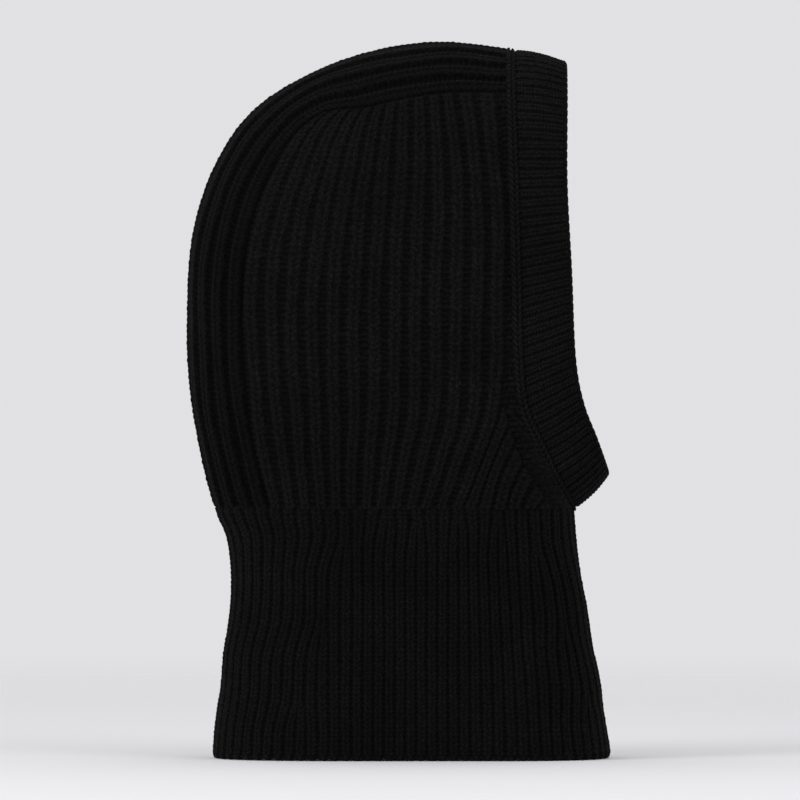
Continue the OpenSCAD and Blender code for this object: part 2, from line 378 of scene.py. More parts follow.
def mirrored(part):
    """The same sheet on the wearer's right."""
    twin = dict(part)
    for layer in ("outer", "inner"):
        flipped = part[layer] * (1, -1, 1)
        twin[layer] = flipped[:, ::-1]
    for value in ("wale", "course"):
        twin[value] = tuple(layer[:, ::-1] for layer in part[value])
    return twin


def knit_piece(name, parts):
    """One object from closed sheets."""
    points, quad_faces, other_faces, wale, course = [], [], [], [], []
    first = 0
    for part in parts:
        sides, rim_faces = shell_faces(part, first)
        quad_faces += sides
        other_faces += rim_faces
        for layer, key in enumerate(("outer", "inner")):
            points.append(part[key].reshape(-1, 3))
            wale.append(part["wale"][layer].ravel())
            course.append(part["course"][layer].ravel())
            first += part[key].shape[0] * part[key].shape[1]
    points, wale, course = np.concatenate(points), np.concatenate(wale), np.concatenate(course)
    return add_mesh(name, points, quad_faces, other_faces, wale, course)


# ----------------------------------------------------------
# The crown strip: up the back of the head and over the crown
# ----------------------------------------------------------
strip_run = back[NAPE * STEPS : FOREHEAD * STEPS + 1]
strip_length = lengths(strip_run)[-1]
strip_units = np.arange(len(strip_run)) / STEPS
# Even spacing round the strip's fold gives way by this share to even spacing in the side view
FLAT_SHARE = 0.3
STRIP_END_HEIGHT = -2.4


def strip_line(unit):
    """Outline point, way inwards and drop of the strip's edge, by outline segments from the nape."""
    point = np.stack([np.interp(unit, strip_units, strip_run[:, k]) for k in (0, 1)], -1)
    heading = np.gradient(back, axis=0)[NAPE * STEPS : FOREHEAD * STEPS + 1]
    heading = np.stack([np.interp(unit, strip_units, heading[:, k]) for k in (0, 1)], -1)
    square = np.stack([heading[..., 1], -heading[..., 0]], -1)
    square /= np.linalg.norm(square, axis=-1, keepdims=True)
    last = FOREHEAD - NAPE
    inward = mix(np.array([1.0, 0.0]), square, ease(unit / 2)[..., None])
    inward = mix(np.array([0.0, -1.0]), inward, ease((last - unit) * 0.75)[..., None])
    inward /= np.linalg.norm(inward, axis=-1, keepdims=True)
    from_corner = (unit - CORNER) / np.where(unit < CORNER, RISE_BEHIND, RISE_AHEAD)
    drop = mix(DROP_AT_NAPE, DROP_AT_FOREHEAD, (unit / last) ** NARROWING)
    return point, inward, drop - CORNER_RISE * np.exp(-(from_corner**2))


def strip_edge(unit):
    """Side-view points on the strip's edge."""
    point, inward, drop = strip_line(np.asarray(unit, float))
    return point + drop[..., None] * inward


def spread_ribs(line, inside, shares):
    """Points across half the strip. Its ribs are closer together over the fold than on the flat side."""
    run = lengths(line)
    measure = mix(run / run[-1], inside / inside[-1], FLAT_SHARE)
    return np.stack([np.interp(shares, measure, line[:, k]) for k in range(3)], -1)


def strip_base():
    """Grid over the strip: rows up the back and over the crown, columns from its right edge to its left."""
    rows = int(strip_length / HOOD_COURSE) * ROWS_PER_COURSE + 1
    unit = np.interp(np.linspace(0, strip_length, rows), lengths(strip_run), strip_units)
    point, inward, drop = strip_line(unit)
    angle = np.linspace(0, 1, 80) * np.arccos((1 - drop / BACK_ROUNDING) ** (ROUNDNESS / 2))[:, None]
    inside = BACK_ROUNDING * (1 - np.cos(angle) ** (2 / ROUNDNESS))
    place = point[:, None] + inside[..., None] * inward[:, None]
    half = np.stack([place[..., 0], skin_y(place[..., 0], place[..., 1], inside), place[..., 1]], -1)
    columns_per_rib = 14
    shares = np.linspace(0, 1, STRIP_RIBS * columns_per_rib // 2 + 1)
    half = np.stack([spread_ribs(line, inside_line, shares) for line, inside_line in zip(half, inside)])
    whole = np.concatenate([(half * (1, -1, 1))[:, :0:-1], half], 1)
    course = np.broadcast_to((np.arange(rows) / ROWS_PER_COURSE)[:, None], whole.shape[:2])
    # The strip's edge is cut a little way into its first rib, and further over the crown
    first_wale = mix(0.05, 0.2, ease(unit - CORNER + 0.7))[:, None]
    wale = wavy(mix(first_wale, STRIP_RIBS - first_wale, np.linspace(0, 1, whole.shape[1])), course)
    return whole, wale, course


def end_of(courses, reach):
    """1 at the end of a rib, where courses are left, and 0 from reach courses before it."""
    return 1 - ease(courses / reach)


def crown_strip():
    """The strip of ribs; both its ends sink under the seams."""
    base, wale, course = strip_base()
    height = rib_relief(wale, course, STRIP_SHARE, depth=1.8, leg=0.65)
    ends = end_of(course, 0.8) + end_of(course.max() - course, 1.0)
    height = mix(height, STRIP_END_HEIGHT, 0.5 * ends)
    return knit_piece("wool_crown_strip", [shell(base, wale, course, height, ROWS_PER_COURSE, 2)])


# ----------------------------------------------------------
# The sides of the hood
# ----------------------------------------------------------
NECK_PITCH = 8.25
CORNER_CROWDING = 0.22
# Where ribs end they sink to this height, all the way under a seam and a little at the neck line
SUNKEN = -2.6
AT_NECK = 0.12
# The first column of a sheet is tucked under its neighbour by a share of a rib, and lies lower
TUCK_SHARE = 0.1
TUCK_DEPTH = 0.7
EDGE_TUCK_SHARE = 0.18
EDGE_TUCK_DEPTH = 0.9
# The middle of the stretched part of the side, in the side view, and its reach
STRETCHED_X, STRETCHED_Z, STRETCHED_REACH = -35, 325, 50
LAST_RIB = [(36, 139), (48, 168), (58, 197), (60.5, 256), (60, 320), (59, 368.5)]
DECREASE_LINE = [(58, 197), (66, 172), (73, 158), (81, 146), (86, 139)]


def neck_foot(rib):
    """Where a rib of the side leaves the neck line, in the side view."""
    start = np.interp(NECK_LINE, back_side[:, 1], back_side[:, 0]) + DROP_AT_NAPE
    return np.stack([start + NECK_PITCH * rib, np.full_like(rib, NECK_LINE)], -1)


def side_wales(ribs, shares):
    """Side-view places along ribs that run from the neck line to the crown seam: [share, rib, xz].
    The rearmost ribs follow the strip's edge and are closer together where they end near the corner."""
    rear = resample(strip_edge(np.linspace(0, CORNER, 120)), shares)
    last = resample(smooth(LAST_RIB), shares)
    s = ribs / SIDE_RIBS
    place = mix(rear[:, None], last[:, None], s[None, :, None])
    top_unit = mix(CORNER, FOREHEAD - NAPE - 0.25, s * (1 - CORNER_CROWDING + CORNER_CROWDING * s))
    late = np.clip((np.asarray(shares) - 0.6) / 0.4, 0, 1)[:, None, None] ** 2.2
    return place + late * (strip_edge(top_unit) - place[-1])


def fan_wales(ribs, shares):
    """Side-view places along the short ribs that end on the slanting decrease line below the cheek."""
    foot = neck_foot(ribs)
    top = resample(smooth(DECREASE_LINE), (ribs - SIDE_RIBS) / FAN_RIBS)
    t = np.asarray(shares)[:, None, None]
    slack = 0.05 * ease((ribs - SIDE_RIBS) / 2)[:, None] * np.linalg.norm(top - foot, axis=-1, keepdims=True)
    bow = np.sin(np.pi * t) * slack * (-1, 0)
    return mix(foot, top, t) + bow


def side_field():
    """The side's upright ribs."""
    per_rib = 12
    ribs = np.linspace(0, SIDE_RIBS, SIDE_RIBS * per_rib + 1)
    ribs[0] = -TUCK_SHARE
    courses = int(232 * HEIGHT_SCALE / HOOD_COURSE)
    rows = courses * ROWS_PER_COURSE + 1
    place = side_wales(ribs, np.linspace(0, 1, rows))
    base = skin(place[..., 0], place[..., 1])
    course = np.broadcast_to((np.arange(rows) / ROWS_PER_COURSE)[:, None], base.shape[:2])
    wale = wavy(np.broadcast_to(ribs, base.shape[:2]), course)
    x_away, z_away = base[..., 0] - STRETCHED_X, base[..., 2] - STRETCHED_Z
    stretched = np.exp(-((x_away / STRETCHED_REACH) ** 2) - (z_away / STRETCHED_REACH) ** 2)
    share = mix(SIDE_SHARE, STRETCHED_SHARE, stretched)
    height = rib_relief(wale, course, share, depth=1.5 - 0.6 * stretched, leg=0.65 - 0.25 * stretched)
    wale = mix(wale, redraw(wale, STRETCHED_SHARE, SIDE_SHARE), stretched)
    ends = np.maximum(end_of(courses - course, 0.8), AT_NECK * end_of(course, 0.5))
    height = mix(height, SUNKEN, ends)
    height[:, 0] -= TUCK_DEPTH
    return shell(base, wale, course, height, ROWS_PER_COURSE, 2)


def side_fan():
    """The short slanting ribs below the cheek."""
    per_rib = 12
    columns = int(FAN_RIBS * per_rib) // 2 * 2
    ribs = np.linspace(SIDE_RIBS, SIDE_RIBS + FAN_RIBS * 0.995, columns + 1)
    ribs[0] = SIDE_RIBS - TUCK_SHARE
    rows = 18 * ROWS_PER_COURSE + 1
    shares = np.linspace(0, 1, rows)
    place = fan_wales(ribs, shares)
    base = skin(place[..., 0], place[..., 1])
    run = np.linalg.norm(place[-1] - place[0], axis=-1)
    course = shares[:, None] * run / HOOD_COURSE
    wale = wavy(np.broadcast_to(ribs, base.shape[:2]), course)
    height = rib_relief(wale, course, FAN_SHARE, depth=1.4, leg=0.65)
    wale = redraw(wale, FAN_SHARE, SIDE_SHARE)
    ends = np.maximum(0.35 * end_of(run / HOOD_COURSE - course, 1.2), AT_NECK * end_of(course, 0.5))
    height = mix(height, SUNKEN, ends)
    height[:, 0] -= TUCK_DEPTH
    return shell(base, wale, course, height, ROWS_PER_COURSE, 2)


def side_edge():
    """The ladder of purl bars beside the face seam, from the chin to the forehead."""
    decrease = smooth(DECREASE_LINE)
    last_rib = side_wales(np.array([float(SIDE_RIBS)]), np.linspace(0, 1, 200))[:, 0]
    rear = np.vstack([decrease[::-1], last_rib[last_rib[:, 1] > decrease[0, 1] + 1]])
    seam_top = strip_edge(np.array([float(FOREHEAD - NAPE)]))[0]
    ahead = np.vstack([face_seam[face_seam[:, 1] < seam_top[1]], seam_top])
    rows = int(lengths(ahead)[-1] / HOOD_COURSE) * ROWS_PER_COURSE + 1
    shares = np.linspace(0, 1, rows)
    columns = 48
    across = np.sin(np.linspace(0, np.pi / 2, columns + 1))
    across[0] = -EDGE_TUCK_SHARE
    place = mix(resample(rear, shares)[:, None], resample(ahead, shares)[:, None], across[:, None])
    base = skin(place[..., 0], place[..., 1])
    away = lengths(base)
    away = away[:, -1:] - away
    course = np.broadcast_to((np.arange(rows) / ROWS_PER_COURSE)[:, None], base.shape[:2])
    width = away.max(1, keepdims=True)
    wide = ease((width - 6) / 6)
    # The relief is a groove's ladder of purl bars. The wool is drawn with the painted light of a rib's side,
    # not the painted shade of a groove, so it is lighter.
    ladder = 1.26 - 0.27 * away / width
    wale = 1.27 - 0.11 * away / width
    height = rib_relief(ladder, course, SIDE_SHARE, depth=1.6 - 0.4 * wide, leg=1.0 + 0.6 * wide)
    height[:, 0] -= EDGE_TUCK_DEPTH
    ends = np.maximum(end_of(course.max() - course, 0.8), AT_NECK * end_of(course, 0.5))
    return shell(base, wale, course, mix(height, SUNKEN, ends), ROWS_PER_COURSE, 2)


def hood_sides():
    """The two sides: three sheets each, as one piece."""
    parts = [side_field(), side_fan(), side_edge()]
    left = knit_piece("wool_left_side", parts)
    right = knit_piece("wool_right_side", [mirrored(part) for part in parts])
    return left, right


# ----------------------------------------------------------
# The neck
# ----------------------------------------------------------
# Where one rib becomes two on the way down: (first rib of the pair, height of the split)
SPLITS = [
    (9, 30), (11, 73), (13, 119), (32, 115), (34, 72), (36, 33),
    (17, 134), (20, 129), (24, 133), (28, 130),
]
# Ribs that keep their place all the way up the neck
FIXED_RIBS = [0, 15, 31, 41]
NECK_BACK = -95 * DEPTH_SCALE
NECK_FRONT = 106 * DEPTH_SCALE
FLARE_REACH = 80


def neck_half(z):
    """Points on one side of the neck at a height; the flare is taken up near the nape and the throat."""
    x = mix(NECK_BACK, NECK_FRONT, (1 - np.cos(np.linspace(0, np.pi, 240))) / 2)
    rear = np.clip(1 - (x - NECK_BACK) / FLARE_REACH, 0, 1) ** 1.5
    fore = np.clip(1 - (NECK_FRONT - x) / FLARE_REACH, 0, 1) ** 1.5
    x = x + rear * (np.interp(z, back_side[:, 1], back_side[:, 0]) - NECK_BACK)
    x = x + fore * (np.interp(z, front[:, 1], front[:, 0]) - NECK_FRONT)
    line = skin(x, np.full_like(x, z))
    line[[0, -1], 1] = 0
    return line


def neck_measure():
    """Running rib measure along one side of the neck: between the length along x and the true length."""
    line = neck_half(70 * HEIGHT_SCALE)
    steps = np.sqrt((np.diff(line, axis=0) ** 2).sum(1))
    measure = np.concatenate([[0], np.cumsum(0.3 * np.abs(np.diff(line[:, 0])) + 0.7 * steps)])
    return measure / measure[-1]


def neck_grid(heights, per_rib):
    """Grid round the neck with the ribs that split: its points, the wale, the wale as if nothing had split
    yet, and how far the new groove of each split has opened."""
    columns = NECK_RIBS * per_rib
    measure = neck_measure()
    count = np.arange(columns + 1) / per_rib
    rib = np.minimum(np.floor(count[:-1] + 1e-6), NECK_RIBS - 1)
    layers = []
    for z in heights:
        weight = np.ones(columns)
        wale, before, opened = count.copy(), count.copy(), np.ones_like(count)
        for first, split in SPLITS:
            split = split * HEIGHT_SCALE
            pair = (rib >= first) & (rib < first + 2)
            weight[pair] = 0.5 + 0.5 * ease((split + 8 - z) / 26)
            inside = (count > first) & (count < first + 2)
            before[inside] = first + (count[inside] - first) / 2
            opened[inside] = ease((split - z) / 8)
            if z > split:
                wale[inside] = before[inside]
        share = np.concatenate([[0], np.cumsum(weight)])
        fixed = share[np.array(FIXED_RIBS) * per_rib]
        share = np.interp(share, fixed, np.array(FIXED_RIBS) / NECK_RIBS)
        line = neck_half(z)
        half = np.stack([np.interp(share, measure, line[:, k]) for k in range(3)], -1)
        layers.append((half, wale, before, opened))
    half, *values = (np.stack(layer) for layer in zip(*layers))
    ring = np.concatenate([half, (half * (1, -1, 1))[:, -2:0:-1]], 1)
    return ring, *(np.concatenate([value, value[:, -2:0:-1]], 1) for value in values)


def neck_relief(wale, before, opened, course):
    """Height of the neck's knitting, which goes from the whole rib to the split one as the groove opens."""
    whole_rib = rib_relief(before, course, NECK_SHARE, depth=1.2, leg=0.55)
    split_rib = rib_relief(wale, course, NECK_SHARE, depth=1.2, leg=0.55)
    return mix(whole_rib, split_rib, opened)


def neck():
    """The neck tube, from the cast-on edge to the transfer row."""
    courses = int((NECK_TOP - CAST_ON) / NECK_COURSE)
    heights = np.linspace(CAST_ON, NECK_TOP, courses * ROWS_PER_COURSE + 1)
    base, wale, before, opened = neck_grid(heights, per_rib=8)
    course = np.broadcast_to((np.arange(len(heights)) / ROWS_PER_COURSE)[:, None], base.shape[:2])
    wale, before = wavy(wale, course, 0.04), wavy(before, course, 0.04)
    height = neck_relief(wale, before, opened, course)
    return knit_piece("wool_neck", [shell(base, wale, course, height, ROWS_PER_COURSE, 2, closed=True)])


def transfer_row():
    """The row where hood ribs turn into neck ribs: one low course of small purl bars.
    Its top is tucked under the foot of the hood."""
    tuck_rise = np.array([0.48, 1.6])
    tuck_sink = np.array([0.5, 1.3])
    heights = np.concatenate([np.linspace(NECK_TOP, NECK_LINE, 7), NECK_LINE + tuck_rise])
    base, wale, before, opened = neck_grid(heights, per_rib=6)
    course = np.broadcast_to(((heights - NECK_TOP) / (NECK_LINE - NECK_TOP))[:, None], base.shape[:2])
    height = neck_relief(wale, before, opened, course)
    height -= 0.2 * np.sin(np.pi * np.clip(course, 0, 1))
    height[-2:] -= tuck_sink[:, None]
    return knit_piece("wool_transfer_row", [shell(base, wale, course, height, 2, 2, closed=True)])


# ----------------------------------------------------------
# The face band
# ----------------------------------------------------------
BAND_WIDTH = 30
# The share of the band's width that is left when the bound-off edge is taken away
BIND_OFF_SHARE = 1 - 2.5 / BAND_WIDTH
BAND_COLUMNS_PER_RIB = 8


def face_seam_half():
    """The line of the face seam on the wearer's left, from the top of the forehead down to the chin."""
    unit = float(FOREHEAD - NAPE)
    point, inward, drop = strip_line(np.array([unit]))
    angle = np.linspace(0, 1, 120) * np.arccos((1 - drop[0] / BACK_ROUNDING) ** (ROUNDNESS / 2))
    inside = BACK_ROUNDING * (1 - np.cos(angle) ** (2 / ROUNDNESS))
    place = point + inside[:, None] * inward
    top = np.stack([place[:, 0], skin_y(place[:, 0], place[:, 1], inside), place[:, 1]], -1)
    z = mix(NECK_LINE, top[-1, 2], (1 - np.linspace(0, 1, 400)[1:]) ** 1.5)
    low = skin(np.interp(z, face_seam[:, 1], face_seam[:, 0]), z)
    low[-1] = (front[5 * STEPS, 0], 0, NECK_LINE)
    return np.vstack([top, low])


def rim_beside(seam):
    """The rim's points, beside points of the face seam."""
    tip, top = rim[0, 1], rim[-1, 1]
    z = mix(tip, top, np.clip((seam[:, 2] - NECK_LINE) / (face_seam[-1, 1] - NECK_LINE), 0, 1))
    y = OPENING_HALF * (fall((top - z) / RIM_ROUNDING) * fall((z - tip) / RIM_ROUNDING)) ** (1 / ROUNDNESS)
    y[[0, -1]] = 0
    return np.stack([np.interp(z, rim[:, 1], rim[:, 0]), y, z], -1)


def loop(half):
    """A closed loop from its left half, which starts at the forehead and ends at the chin."""
    return np.concatenate([half, (half * (1, -1, 1))[-2:0:-1]], 0)


def band_lines(columns):
    """Face seam and rim as loops of points that lie side by side, evenly spaced."""
    seam = face_seam_half()
    edge = rim_beside(seam)
    middle = lengths((seam + edge) / 2)
    at = np.linspace(0, middle[-1], columns + 1)
    even = [np.stack([np.interp(at, middle, line[:, k]) for k in range(3)], -1) for line in (seam, edge)]
    return loop(even[0]), loop(even[1])


def band_base(shares, columns):
    """Grid over the band at shares of its width, a little domed."""
    seam, edge = band_lines(columns)
    t = np.asarray(shares)[:, None, None]
    grid = mix(seam, edge, t)
    normals = grid_normals(grid, closed=True)
    return grid + normals * (1.6 * np.sin(np.pi * t))


def face_band():
    """The loop of fine ribs across the band, from the face seam to the bound-off edge."""
    rows_per_course = 3
    courses = int(BAND_WIDTH * DEPTH_SCALE * BIND_OFF_SHARE / BAND_COURSE)
    rows = courses * rows_per_course + 1
    base = band_base(np.linspace(0, BIND_OFF_SHARE, rows), BAND_RIBS * BAND_COLUMNS_PER_RIB)
    wale = np.broadcast_to(np.arange(base.shape[1]) / BAND_COLUMNS_PER_RIB, base.shape[:2])
    course = np.broadcast_to((np.arange(rows) / rows_per_course)[:, None], base.shape[:2])
    wale = wavy(wale, course, 0.06)
    height = rib_relief(wale, course, BAND_SHARE, depth=1.15, leg=0.45)
    height = mix(height, -1.8, 0.6 * end_of(course, 1.5))
    return knit_piece("wool_face_band", [shell(base, wale, course, height, rows_per_course, 2, closed=True)])


# ----------------------------------------------------------
# Edges and seams
# ----------------------------------------------------------
def rope_edge(name, outer, inner, tip, wale, stitches, bulge, flip):
    """A rolled edge round a loop, with slanting stitches: from the outer side over the tip to the inner."""
    turn = np.linspace(0, np.pi, 11)
    middle = (outer + inner) / 2
    thick = (outer - inner) / 2
    reach = tip - middle
    count = len(outer)
    run = np.arange(count) / count * stitches
    rings = []
    for angle in turn:
        slant = 0.5 + 0.5 * np.cos(2 * np.pi * (run - 1.1 * angle / np.pi))
        swell = 1 + bulge * (slant - 0.6)
        rings.append(middle + (thick * np.cos(angle) + reach * np.sin(angle)) * swell[:, None])
    grid = np.stack(rings)
    rows = len(turn)
    index = np.arange(rows * count).reshape(rows, count)
    a, b = index, np.roll(index, -1, 1)
    ring = np.stack([a, b, np.roll(b, -1, 0), np.roll(a, -1, 0)], -1).reshape(-1, 4)
    faces = [ring[:, ::-1] if flip else ring]
    wales = np.broadcast_to(wale, (rows, count))
    course = np.broadcast_to(turn[:, None], (rows, count))
    # Painted light and shade: lighter on each slanting stitch, darker between stitches
    shade = np.broadcast_to(0.55 + 0.3 * np.cos(2 * np.pi * run), (rows, count))
    return add_mesh(name, grid.reshape(-1, 3), faces, [], wales.ravel(), course.ravel(), shade.ravel())


def hem_edge():
    """The cast-on edge: it follows the neck's ribs in and out, and scallops a little at each rib."""
    per_rib = 10
    rings, wales, _, _ = neck_grid(np.array([0.0, CAST_ON]), per_rib)
    normals = grid_normals(rings, closed=True)[0]
    wale = wales[0]
    wave = 0.5 - 0.5 * np.cos(2 * np.pi * wale)
    top = rings[1]
    outer = top + normals * (-1.6 + 1.5 * wave)[:, None]
    inner = top - normals * (THICKNESS - 1.2 * wave)[:, None]
    tip = (outer + inner) / 2
    tip[:, 2] = 0.9 - 0.9 * wave
    return rope_edge("wool_hem_edge", outer, inner, tip, wale, NECK_RIBS * 4, bulge=0.1, flip=False)


def rim_edge():
    """The bound-off edge round the face opening."""
    base = band_base([0, BIND_OFF_SHARE, 1], BAND_RIBS * BAND_COLUMNS_PER_RIB)
    normals = grid_normals(base, closed=True)[1]
    wale = np.arange(base.shape[1]) / BAND_COLUMNS_PER_RIB
    wave = 0.5 - 0.5 * np.cos(2 * np.pi * wale)
    outer = base[1] + normals * (-1.1 + 1.1 * wave)[:, None]
    inner = base[1] - normals * (THICKNESS - 0.9 * wave)[:, None]
    tip = base[2] - normals * THICKNESS / 2 - (base[2] - base[1]) * (0.1 - 0.1 * wave)[:, None]
    return rope_edge("wool_rim_edge", outer, inner, tip, wale, BAND_RIBS * 4, bulge=0.06, flip=True)


def chain(name, line, up, width, rise, sink, stitch, closed=False):
    """A chain of linking stitches along a line on the knitting: a low ridge of V stitches."""
    count = int(lengths(line)[-1] / stitch) * 6
    shares = np.linspace(0, 1, count + 1)[: count if closed else count + 1]
    if closed:
        line, up = np.vstack([line, line[:1]]), np.vstack([up, up[:1]])
    run = lengths(line)
    at = shares * run[-1]
    points = np.stack([np.interp(at, run, line[:, k]) for k in range(3)], -1)
    away = np.stack([np.interp(at, run, up[:, k]) for k in range(3)], -1)
    away /= np.linalg.norm(away, axis=-1, keepdims=True)
    heading = (np.roll(points, -1, 0) - np.roll(points, 1, 0)) if closed else np.gradient(points, axis=0)
    sideways = np.cross(away, heading)
    sideways /= np.maximum(np.linalg.norm(sideways, axis=-1, keepdims=True), 1e-9)
    across = np.linspace(-1, 1, 15)
    course = (at / stitch)[:, None]
    arm = np.abs(across)
    stroke = (0.5 + 0.5 * np.cos(2 * np.pi * (course - 0.9 * arm))) ** 0.8
    dome = np.sqrt(np.maximum(0, 1 - across**2))
    valley = 1 - 0.45 * np.exp(-((arm / 0.16) ** 2))
    height = -sink + (rise + sink) * dome * valley * (0.62 + 0.38 * stroke)
    top = points[:, None] + sideways[:, None] * (across * width / 2)[:, None]
    top += away[:, None] * height[..., None]
    floor_line = points[:, None] + sideways[:, None] * (across[[0, -1]] * width / 2)[:, None]
    under = floor_line - away[:, None] * (sink + 0.8)
    grid = np.concatenate([top, under[:, ::-1]], 1)
    rows, columns = grid.shape[:2]
    # Painted light and shade: lighter on the stitch strokes at the ridge's top, darker at its sides and
    # darkest underneath
    shade = np.concatenate([0.3 + 0.7 * stroke * dome, np.zeros((rows, 2))], 1)
    wale = np.broadcast_to(np.linspace(0, 1, columns), (rows, columns))
    course = np.broadcast_to(course, (rows, columns))
    index = np.arange(rows * columns).reshape(rows, columns)
    if closed:
        index = np.vstack([index, index[:1]])
    a, b = index[:-1], index[1:]
    faces = np.stack([a, b, np.roll(b, -1, 1), np.roll(a, -1, 1)], -1).reshape(-1, 4)
    caps = [] if closed else [list(index[0]), list(index[-1][::-1])]
    return add_mesh(name, grid.reshape(-1, 3), [faces], caps, wale.ravel(), course.ravel(), shade.ravel())


def face_chain():
    """The linking chain on the face seam."""
    seam, edge = band_lines(300)
    line = mix(seam, edge, -0.05)
    flat = grid_normals(np.stack([line, seam]), closed=True)[0]
    return chain("wool_face_chain", line, flat, width=6, rise=1.3, sink=2.6, stitch=3.3, closed=True)


def crown_seams():
    """The seams between the crown strip and the two sides, from the corner behind to the forehead."""
    unit = np.linspace(CORNER - 0.1, FOREHEAD - NAPE - 0.1, 160)
    edge = strip_edge(unit)
    line = skin(edge[:, 0], edge[:, 1])
    deeper = skin(edge[:, 0], edge[:, 1] - 1)
    up = np.cross(np.gradient(line, axis=0), deeper - line)
    up *= np.sign(up[:, 1:2])
    up /= np.linalg.norm(up, axis=-1, keepdims=True)
    size = dict(width=2.6, rise=-1.3, sink=2.8, stitch=2.4)
    left = chain("wool_left_crown_seam", line, up, **size)
    flip = np.array([1, -1, 1])
    right = chain("wool_right_crown_seam", (line * flip)[::-1], (up * flip)[::-1], **size)
    return left, right


def chin_seam():
    """The short seam that closes the band's loop under the chin."""
    columns = BAND_RIBS * BAND_COLUMNS_PER_RIB
    base = band_base(np.linspace(0.08, BIND_OFF_SHARE, 30), columns)
    normals = grid_normals(base, closed=True)
    size = dict(width=2.6, rise=0.2, sink=2.0, stitch=2.2)
    return chain("wool_chin_join", base[:, columns], normals[:, columns], **size)


# ----------------------------------------------------------
# Materials
# ----------------------------------------------------------
WOOL_BLACK = (0.0043, 0.00431, 0.00429)
SHEEN = 0.03
# Painted shade and glints of single fibres: how dark and how light they make the wool
FIBRE_SHADE = 0.4
FIBRE_GLINT = 1.75
RIB_BUMP = 0.0006
EDGE_BUMP = 0.0003


class Nodes:
    """Short ways to add the nodes that the materials share."""

    def __init__(self, name):
        self.material = bpy.data.materials.new(name)
        self.material.use_nodes = True
        self.tree = self.material.node_tree
        self.shader = self.tree.nodes["Principled BSDF"]

    def put(self, value, socket):
        if isinstance(value, bpy.types.NodeSocket):
            self.tree.links.new(value, socket)
        else:
            socket.default_value = value

    def math(self, operation, *values):
        node = self.tree.nodes.new("ShaderNodeMath")
        node.operation = operation
        for value, socket in zip(values, node.inputs):
            self.put(value, socket)
        return node.outputs["Value"]

    def step(self, value, low, high, to_low=0.0, to_high=1.0):
        node = self.tree.nodes.new("ShaderNodeMapRange")
        node.interpolation_type = "SMOOTHSTEP"
        self.put(value, node.inputs["Value"])
        node.inputs["From Min"].default_value = low
        node.inputs["From Max"].default_value = high
        self.put(to_low, node.inputs["To Min"])
        self.put(to_high, node.inputs["To Max"])
        return node.outputs["Result"]

    def noise(self, scale, detail, roughness=0.5):
        place = self.tree.nodes.new("ShaderNodeTexCoord")
        node = self.tree.nodes.new("ShaderNodeTexNoise")
        node.inputs["Scale"].default_value = scale
        node.inputs["Detail"].default_value = detail
        node.inputs["Roughness"].default_value = roughness
        self.tree.links.new(place.outputs["Object"], node.inputs["Vector"])
        return node.outputs["Fac"]

    def wave(self, value, phase=0.0):
        """0 to 1 and back once for each whole step of value, 1 at whole numbers plus phase."""
        turn = self.math("MULTIPLY", self.math("SUBTRACT", value, phase), 2 * math.pi)
        return self.math("MULTIPLY_ADD", self.math("COSINE", turn), 0.5, 0.5)

    def wool_finish(self, light_and_shade, height, depth):
        """Black wool: colour by the painted light and shade it is given, times painted glints and shade of
        single fibres, random tufts and soft patches of painted light and shade; fine fibres in the bump, and
        a faint sheen of loose hairs.
        """
        fuzz = self.noise(1400, 4, 0.7)
        clouds = self.noise(26, 3)
        # Painted glints and shade of single fibres, spread at random
        fibre_glints = self.step(fuzz, 0.34, 0.66, FIBRE_SHADE, FIBRE_GLINT)
        tuft = self.step(self.noise(520, 3), 0.3, 0.7, 0.8, 1.2)
        # Soft patches of painted light and shade, spread at random
        patchy_light_and_shade = self.step(clouds, 0.3, 0.7, 0.84, 1.16)
        for variation in (fibre_glints, tuft, patchy_light_and_shade):
            light_and_shade = self.math("MULTIPLY", light_and_shade, variation)
        colour = self.tree.nodes.new("ShaderNodeVectorMath")
        colour.operation = "SCALE"
        colour.inputs[0].default_value = WOOL_BLACK
        self.put(light_and_shade, colour.inputs["Scale"])
        self.put(colour.outputs["Vector"], self.shader.inputs["Base Color"])
        self.put(self.step(fuzz, 0.2, 0.8, 0.86, 0.97), self.shader.inputs["Roughness"])
        bump = self.tree.nodes.new("ShaderNodeBump")
        bump.inputs["Strength"].default_value = 0.9
        bump.inputs["Distance"].default_value = depth
        self.put(self.math("MULTIPLY_ADD", fuzz, 0.35, height), bump.inputs["Height"])
        self.put(bump.outputs["Normal"], self.shader.inputs["Normal"])
        self.shader.inputs["Specular IOR Level"].default_value = 0.04
        self.shader.inputs["Sheen Weight"].default_value = SHEEN
        self.shader.inputs["Sheen Roughness"].default_value = 0.5
        self.shader.inputs["Sheen Tint"].default_value = (0.3, 0.3, 0.3, 1)
        return self.material


